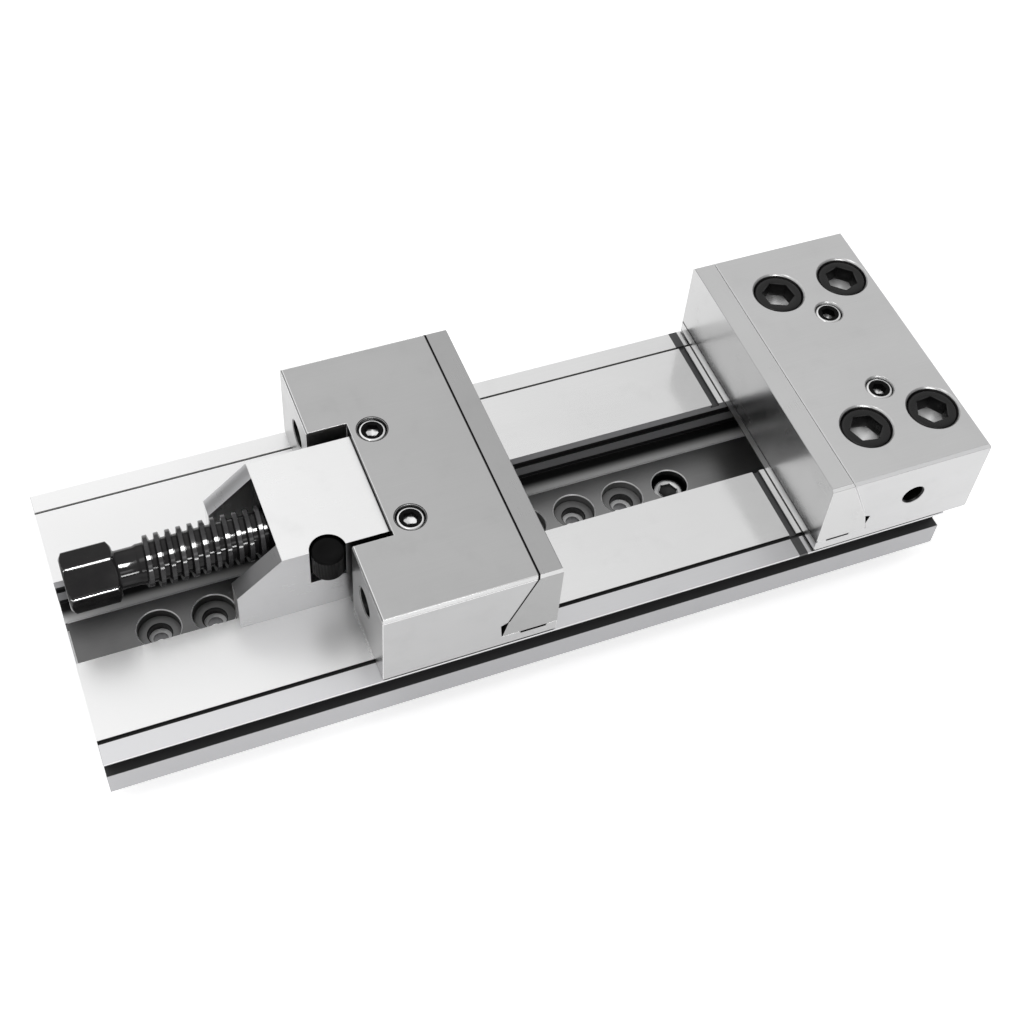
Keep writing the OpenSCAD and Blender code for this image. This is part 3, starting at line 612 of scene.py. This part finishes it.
def cap_screw(bm, mat4, d, hd, hh, length, af, deep, knurl=True, rim=0):
    """A socket head cap screw, head top at z = 0, shank down -Z, knurled rim, countersunk hexagon socket."""
    n = 96
    ap = af / 2
    corner = ap / math.cos(math.pi / 6)
    R = hd / 2
    rid = 0 if not knurl else 32
    kd = 0.28 * (hd / 24) ** 0.5
    ph = math.pi / 6
    loops = []
    # socket: drill point, walls, countersink
    loops.append((-deep - 0.35 * ap, loop_pts("c", 0.12 * ap, n)))
    loops.append((-deep, loop_pts("c", ap * 0.97, n)))
    loops.append((-deep + 0.02, loop_pts("h", ap, n, phase=ph)))
    loops.append((-0.55, loop_pts("h", ap, n, phase=ph, cone=corner * 1.02)))
    loops.append((-0.28, loop_pts("h", ap + 0.12, n, phase=ph, cone=corner * 1.02)))
    loops.append((-0.05, loop_pts("c", corner + 0.28, n)))
    loops.append((0, loop_pts("c", corner + 0.45, n)))
    # top, rounded shoulder
    ch = 0.09 * hd * 0.5 + 0.35
    loops.append((0, loop_pts("c", R - ch - 0.35, n)))
    for t in (0.2, 0.45, 0.7, 0.9, 1.0):
        a = t * math.pi / 2
        loops.append((-(ch) * (1 - math.cos(a)), loop_pts("c", R - ch - 0.15 + (ch + 0.0) * math.sin(a) - 0.0, n)))
    loops.append((-ch - 0.15, loop_pts("c", R - 0.02, n, ridges=rid, ridge=kd)))
    loops.append((-hh + 0.55, loop_pts("c", R - 0.02, n, ridges=rid, ridge=kd)))
    loops.append((-hh + 0.3, loop_pts("c", R - 0.2, n)))
    loops.append((-hh, loop_pts("c", R - 0.45, n)))
    # shank
    r = d / 2
    loops.append((-hh, loop_pts("c", r + 0.35, n)))
    loops.append((-hh - 0.35, loop_pts("c", r - 0.02, n)))
    loops.append((-hh - length + 0.8, loop_pts("c", r - 0.02, n)))
    loops.append((-hh - length + 0.02, loop_pts("c", r - 0.75, n)))
    mats = [0] * (len(loops) - 1)
    # painted highlight: the socket bottom takes the floor material, bright on most screws and painted shade on the
    # index plate screws; with rim set the rounded shoulder takes the bright rim material
    mats[0] = mats[1] = 2
    if rim:
        for i in range(7, 12):
            mats[i] = 1
    part = bmesh.new()
    stack(part, loops, n, mats=mats)
    part.transform(Matrix.Scale(MM, 4))
    part.transform(mat4)
    me = bpy.data.meshes.new("tmp")
    part.to_mesh(me)
    part.free()
    bm.from_mesh(me)
    bpy.data.meshes.remove(me)


def at(x, y, z, rx=0.0, ry=0.0, rz=0.0):
    """place a piece: x from the base's screw end, mm"""
    return Matrix.Translation(((x + X0) * MM, y * MM, z * MM)) @ Matrix.Rotation(ry, 4, "Y") @ Matrix.Rotation(rx, 4, "X") @ Matrix.Rotation(rz, 4, "Z")


def screws(name, node_name, body, places, mat=M_OXIDE, slot="black_oxide", floor=None, **kw):
    bm = bmesh.new()
    for m in places:
        cap_screw(bm, m, **kw)
    return finish_mesh(bm, name, [mat, M_RIM, floor or M_SOCKET], body, (node_name,), 32.0)


FX = 339.4
half = math.pi / 2
screws("cap_screws_m16", "fixed_jaw_cap_screws", "root",
       [at(x, s * 45.5, TOP - 1, rz=r) for (x, s, r) in ((FX + 33.2, -1, 0.35), (FX + 33.2, 1, 0.1), (FX + 69.1, -1, 0.62), (FX + 69.1, 1, 0.85))],
       d=16, hd=24, hh=16, length=44, af=14, deep=8)
screws("key_screws_m8", "fixed_jaw_key_screws", "root",
       [at(FX + 51.1, s * 25.9, TOP - 1, rz=r) for s, r in ((-1, 0.2), (1, 0.7))],
       d=8, hd=13, hh=8, length=40.4, af=6, deep=4, rim=1, mat=M_KNOB, floor=M_RIM)
screws("plate_screws_fixed", "fixed_jaw_plate_screws", "root",
       [at(TOTAL - 1, s * 59.5, LAND + 22, ry=half, rz=0.3 * s) for s in (-1, 1)],
       d=8, hd=13, hh=8, length=64.5, af=6, deep=4)
screws("top_screws_m8", "retainer_screws", "movable_jaw",
       [at(124.1 + 29.3, s * 26.4, TOP - 0.8, rz=r) for s, r in ((-1, 0.5), (1, 0.15))],
       d=8, hd=13, hh=5.2, length=23, af=6, deep=3, rim=1, mat=M_KNOB, floor=M_RIM)
screws("plate_screws_movable", "movable_jaw_plate_screws", "movable_jaw",
       [at(124.1 + 6, s * 50, LAND + 26.5, ry=-half, rz=0.2 * s) for s in (-1, 1)],
       d=8, hd=13, hh=8, length=60.1, af=6, deep=4)
KX = lambda k: 302 - 26.2 * k
screws("index_plate_cap_screws", "index_plate_screws", "root",
       [at(KX(k), 0, 10.0, rz=0.45) for k in (0, -3)], mat=M_PLAIN, slot="plain_screw",
       floor=M_BORE_SHADE, d=10, hd=16, hh=3, length=5.5, af=8, deep=2.0)
FZ = 17.5
screws("foot_screws", "slide_foot_screws", "carriage",
       [at(x, s * 13, FZ + 0.2, rx=math.pi) for x in (101, 134) for s in (-1, 1)],
       d=6, hd=10, hh=4, length=14.3, af=5, deep=2.4)
screws("hold_down_screws", "jaw_hold_down_screws", "movable_jaw",
       [at(x, s * 12, FZ + 0.2, rx=math.pi) for x in (168, 188) for s in (-1, 1)],
       d=6, hd=10, hh=4, length=23.3, af=5, deep=2.4)
screws("nose_screw", "collar_screw", "spindle",
       [at(124.1 + 29.3 + 16.6, 0, AXIS_Z, ry=half)], d=6, hd=19, hh=3.5, length=18, af=5, deep=2.2, knurl=False)


# ------------------------------------------------------------------ index bushes
def bush(bm, x):
    n = 72
    zt, zb = 10.4, 6.0
    R, r = 10.15, 5.5
    loops = [(zb + 0.3, loop_pts("c", r, n)), (zt - 0.55, loop_pts("c", r, n)), (zt, loop_pts("c", r + 0.55, n)),
             (zt, loop_pts("c", R - 0.45, n)), (zt - 0.12, loop_pts("c", R - 0.12, n)), (zt - 0.5, loop_pts("c", R - 0.01, n)),
             (zb + 0.5, loop_pts("c", R - 0.01, n)), (zb, loop_pts("c", R - 0.5, n)), (zb, loop_pts("c", r + 0.4, n)), (zb + 0.3, loop_pts("c", r, n))]
    mats = [2, 2, 0, 0, 0, 0, 0, 0, 2]
    part = bmesh.new()
    stack(part, loops, n, False, False, mats)
    bmesh.ops.remove_doubles(part, verts=part.verts, dist=1e-5)
    part.transform(Matrix.Scale(MM, 4))
    part.transform(at(x, 0, 0))
    me = bpy.data.meshes.new("tmp")
    part.to_mesh(me)
    part.free()
    bm.from_mesh(me)
    bpy.data.meshes.remove(me)


bm = bmesh.new()
for k in range(1, 11):
    bush(bm, KX(k))
finish_mesh(bm, "index_bush_row", [M_BUSH, M_RIM, M_BORE_SHADE], "root", ("index_bushes",), 30.0)


# ------------------------------------------------------------------ spindle
def spindle():
    n = 96
    bm = bmesh.new()
    hexr = 12.0 / math.cos(math.pi / 6)
    # lathe body: hexagon head, neck, core, nose. z of the stack is x from the screw end
    ph = math.radians(10.0)
    loops = []
    angs = []
    for k in range(6):
        c0 = ph + k * math.pi / 3
        angs.append(c0 - 0.017)
        angs.append(c0 + 0.017)
        for j in range(1, 15):
            angs.append(c0 + 0.017 + (math.pi / 3 - 0.034) * j / 15)
    def hexa(x, cone=None):
        pts = []
        for a in angs:
            r = 12.0 / math.cos((a - ph) % (math.pi / 3) - math.pi / 6)
            if cone is not None:
                r = min(r, cone)
            pts.append((r * math.cos(a), r * math.sin(a)))
        loops.append((x, pts))
    def circ(x, r):
        loops.append((x, [(r * math.cos(a), r * math.sin(a)) for a in angs]))
    circ(4.9, 1.2)
    circ(4.62, 1.5)
    circ(4.5, 1.9)
    circ(4.5, 10.9)
    for t in range(0, 8):
        x = 4.5 + 0.15 + t * 0.26
        hexa(x, 11.3 + (x - 4.5) * 1.35)
    hexa(7.2)
    hexa(25.2)
    for t in range(0, 7):
        x = 25.3 + t * 0.28
        hexa(x, 11.2 + (27.3 - x) * 1.5)
    circ(27.3, 11.0)
    circ(27.3, 9.9)
    circ(27.45, 9.2)
    circ(27.9, 8.8)
    circ(28.4, 8.72)
    circ(35.8, 8.72)
    circ(36.4, 8.85)
    circ(37.0, 9.05)
    circ(37.5, 9.22)
    circ(143.2, 9.22)
    circ(143.9, 9.2)
    circ(143.9, 8.0)
    circ(166.0, 8.0)
    circ(166.4, 7.6)
    rings = stack(bm, loops, n)
    # painted highlight: thin face strips at the hex corners take the bright hex-edge material
    bm.faces.ensure_lookup_table()
    for f in bm.faces:
        zs = [v.co.z for v in f.verts]
        if len(f.verts) == 4 and min(zs) > 5.2 and max(zs) < 26.8:
            c = f.calc_center_median()
            t = (math.atan2(c.y, c.x) - ph + math.pi / 6) % (math.pi / 3) - math.pi / 6
            if abs(t) < 0.012:
                f.material_index = 1
    # trapezoidal ridge, right-handed, swept along the helix and tapering out at both ends
    p = 5.0
    root, crest = 8.9, 11.97
    x_start, x_end = 39.2, 142.2
    turns = (x_end - x_start) / p
    steps = int(turns * n)
    prev = None
    for s in range(steps + 1):
        a = 2 * math.pi * s / n
        x = x_start + p * s / n
        fade = min(1.0, s / (n * 0.35), (steps - s) / (n * 0.35))
        fade = max(0.04, fade) ** 0.6
        top = root + 0.32 + (crest - root - 0.32) * fade
        hw_root = 1.72
        hw_top = 0.92 + (1 - fade) * 0.6
        sec = [(-hw_root, root), (-hw_root + 0.06, root + 0.33), (-hw_top - 0.12, top - 0.16), (-hw_top + 0.08, top), (hw_top - 0.08, top), (hw_top + 0.12, top - 0.16), (hw_root - 0.06, root + 0.33), (hw_root, root)]
        # right-handed about +X: moving on along +X the ridge turns from +Y towards +Z
        ring = []
        for dx, r in sec:
            ring.append(bm.verts.new((r * math.cos(-a), r * math.sin(-a), x + dx)))
        if prev:
            for i in range(len(sec)):
                j = (i + 1) % len(sec)
                bm.faces.new((prev[i], prev[j], ring[j], ring[i]))
        else:
            bm.faces.new(ring)
        prev = ring
    bm.faces.new(list(reversed(prev)))
    # stack axes (u, v, w) -> world (x, y, z): w along X, u down, v along Y, as the lathe turns onto the X axis
    m = Matrix(((0, 0, MM, X0 * MM), (0, MM, 0, 0), (-MM, 0, 0, AXIS_Z * MM), (0, 0, 0, 1)))
    bm.transform(m)
    return finish_mesh(bm, "spindle_screw", [M_SPINDLE, M_HEX_GLINT], "spindle", ("spindle",), 33.0)


spindle()


# ------------------------------------------------------------------ lifting knob
def knob():
    n = 96
    bm = bmesh.new()
    zt = TOP - 3.6 - 1.1
    zb = TOP - 26.2 + 8.3
    R = 7.6
    loops = [(zt - 0.25, loop_pts("c", 0.8, n)), (zt - 0.2, loop_pts("c", 3.4, n)), (zt, loop_pts("c", 3.8, n)),
             (zt, loop_pts("c", R - 1.3, n)), (zt - 0.12, loop_pts("c", R - 0.8, n)), (zt - 0.45, loop_pts("c", R - 0.35, n)), (zt - 1.0, loop_pts("c", R - 0.06, n)),
             (zt - 1.3, loop_pts("c", R - 0.02, n, ridges=32, ridge=0.22)), (zb + 1.3, loop_pts("c", R - 0.02, n, ridges=32, ridge=0.22)),
             (zb + 0.9, loop_pts("c", R - 0.06, n)), (zb + 0.3, loop_pts("c", R - 0.35, n)), (zb, loop_pts("c", R - 0.8, n))]
    stack(bm, loops, n)
    bmesh.ops.translate(bm, verts=bm.verts, vec=(114.7, -28.3, 0))
    stem = bmesh.new()
    stack(stem, [(LAND + 12.5, loop_pts("c", 2.38, n)), (zb + 1.0, loop_pts("c", 2.38, n))], n)
    bmesh.ops.translate(stem, verts=stem.verts, vec=(114.7, -23.9, 0))
    me = bpy.data.meshes.new("tmp")
    stem.to_mesh(me)
    stem.free()
    bm.from_mesh(me)
    bpy.data.meshes.remove(me)
    bm.transform(Matrix.Translation((X0 * MM, 0, 0)) @ Matrix.Scale(MM, 4))
    return finish_mesh(bm, "lifting_knob", [M_KNOB], "index_pin", ("lock_knob",), 32.0)


knob()


# ------------------------------------------------------------------ stage
def plane(name, size, loc, mat):
    me = bpy.data.meshes.new(name)
    s = size / 2
    me.from_pydata([(-s, -s, 0), (s, -s, 0), (s, s, 0), (-s, s, 0)], [], [(0, 1, 2, 3)])
    me.materials.append(mat)
    o = bpy.data.objects.new(name, me)
    o.location = loc
    scene.collection.objects.link(o)
    return o


mf, nt, b = new_mat("pale_floor")
b.inputs["Base Color"].default_value = (0.93, 0.93, 0.93, 1)
b.inputs["Roughness"].default_value = 0.95
b.inputs["Specular IOR Level"].default_value = 0.0
b.inputs["Emission Color"].default_value = (1, 1, 1, 1)
b.inputs["Emission Strength"].default_value = 0.52
plane("floor", 8.0, (0, 0, -0.0002), mf)

world = bpy.data.worlds.new("studio")
scene.world = world
world.use_nodes = True
wn = world.node_tree
wn.nodes.clear()
wo = wn.nodes.new("ShaderNodeOutputWorld")
bg = wn.nodes.new("ShaderNodeBackground")
tc = wn.nodes.new("ShaderNodeTexCoord")
sp = wn.nodes.new("ShaderNodeSeparateXYZ")
wn.links.new(tc.outputs["Generated"], sp.inputs[0])
zf = remap(wn, sp.outputs[2], 0.08, 0.60, 0.30, 1.0, True)
xr = remap(wn, sp.outputs[0], 0.0, 0.32, 1.06, 0.80)
xq = remap(wn, sp.outputs[0], 0.32, 0.55, 1.0, 0.93)
xl = remap(wn, sp.outputs[0], -0.85, -0.25, 0.75, 1.0, True)
yf = remap(wn, sp.outputs[1], -0.65, 0.25, 0.58, 1.0, True)
st = math_node(wn, "MULTIPLY", math_node(wn, "MULTIPLY", zf, math_node(wn, "MULTIPLY", xr, xq)), math_node(wn, "MULTIPLY", xl, yf))
wn.links.new(st, bg.inputs["Strength"])
bg.inputs["Color"].default_value = (1, 1, 1, 1)
wn.links.new(bg.outputs[0], wo.inputs[0])


def area(name, loc, target, size, power, size_y=None, color=(1, 1, 1)):
    L = bpy.data.lights.new(name, "AREA")
    L.energy = power
    L.color = color
    L.size = size
    if size_y:
        L.shape = "RECTANGLE"
        L.size_y = size_y
    o = bpy.data.objects.new(name, L)
    o.location = loc
    o.rotation_euler = (Vector(target) - Vector(loc)).to_track_quat("-Z", "Y").to_euler()
    scene.collection.objects.link(o)
    return o


area("key", (-0.55, -0.35, 1.5), (0, 0, 0.03), 0.4, 1.6, 0.4)
area("front", (0.05, -1.35, 1.0), (0, 0, 0.05), 0.7, 3.2, 0.3)
spark = area("spark", (0.03, -0.36, 1.27), (-0.10, 0, 0.068), 0.5, 80.0, 0.36)
only = bpy.data.collections.new("dark_parts")
for n in ("spindle_screw",):
    only.objects.link(bpy.data.objects[n])
spark.light_linking.receiver_collection = only
glint = area("glint", (-0.05, -1.1, 0.32), (-0.13, 0, 0.068), 0.8, 16.0, 0.12)
glint.light_linking.receiver_collection = only

cam = bpy.data.cameras.new("camera")
cam.sensor_width = 36
cam.sensor_fit = "HORIZONTAL"
cam.lens = 57.674892
cam.clip_start = 0.01
cam.clip_end = 50
co = bpy.data.objects.new("camera", cam)
scene.collection.objects.link(co)
co.matrix_world = Matrix(((0.9292758, 0.2593013, -0.2630765, -0.205762),
                          (-0.3645720, 0.7584420, -0.5402342, -0.430114),
                          (0.0594449, 0.5979370, 0.7993358, 0.665627),
                          (0, 0, 0, 1)))
scene.camera = co
scene.view_settings.view_transform = "Standard"
scene.view_settings.look = "None"
scene.view_settings.exposure = 0.0
scene.view_settings.gamma = 1.0

bpy.context.view_layer.update()
